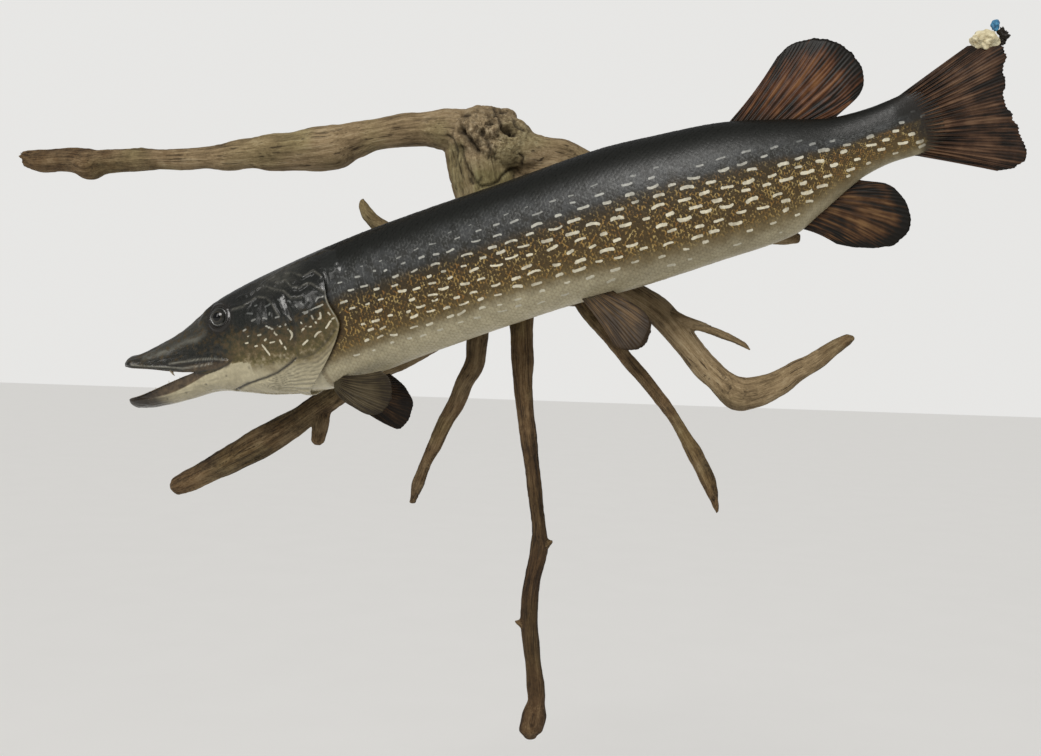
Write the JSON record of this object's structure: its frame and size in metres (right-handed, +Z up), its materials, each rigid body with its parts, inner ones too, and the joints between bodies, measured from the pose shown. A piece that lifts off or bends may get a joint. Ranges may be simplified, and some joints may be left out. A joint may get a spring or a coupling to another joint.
{
  "type": "mounted pike on driftwood",
  "caption": "Wall-hung taxidermy pike with open mouth and spread fins, set on a branching driftwood root.",
  "frame": {"origin": "centre of the flat sawn back of the root crown, on the wall plane", "axes": "+X along the display from head to tail, +Y into the wall, +Z up"},
  "size_m": [1.1071, 0.1792, 0.7612],
  "materials": {
    "painted_skin_dark": "varnished near-black skin, satin gloss",
    "painted_skin_flank": "varnished olive-brown scaled skin with cream bean marks",
    "painted_skin_jaw": "varnished tan jaw with dark tip",
    "painted_skin_gill": "varnished olive gill cover, cream ribbed membrane below",
    "painted_fin": "varnished dark red-brown fin with rays",
    "painted_fin_olive": "varnished olive-brown fin with rays",
    "glass_eye": "polished dark taxidermy eye with gold rim",
    "repair_putty": "matt cream putty",
    "blue_tape": "matt blue scrap",
    "driftwood": "weathered grey-brown bare wood",
    "driftwood_dark": "weathered dark brown bare wood"
  },
  "bodies": {
    "root": {"head": "painted_skin_dark", "lower_jaw": "painted_skin_jaw", "gill_cover_left": "painted_skin_gill", "gill_cover_right": "painted_skin_gill", "eye_left": "glass_eye", "eye_right": "glass_eye", "trunk_front": "painted_skin_flank", "trunk_middle": "painted_skin_flank", "trunk_rear": "painted_skin_flank", "tail_stalk": "painted_skin_flank", "caudal_fin": "painted_fin", "dorsal_fin": "painted_fin", "anal_fin": "painted_fin", "pectoral_fin_left": "painted_fin_olive", "pectoral_fin_right": "painted_fin", "pelvic_fin_left": "painted_fin_olive", "pelvic_fin_right": "painted_fin_olive", "tail_putty": "repair_putty", "tail_blue_scrap": "blue_tape", "root_crown": "driftwood", "burl": "driftwood", "root_long_left": "driftwood", "root_hook": "driftwood", "root_elbow": "driftwood", "root_twig": "driftwood", "root_rear_stub": "driftwood", "root_lower_left": "driftwood_dark", "root_knub": "driftwood_dark", "root_down_left": "driftwood_dark", "root_down_long": "driftwood_dark", "root_down_right": "driftwood_dark"}
  },
  "joints": []
}
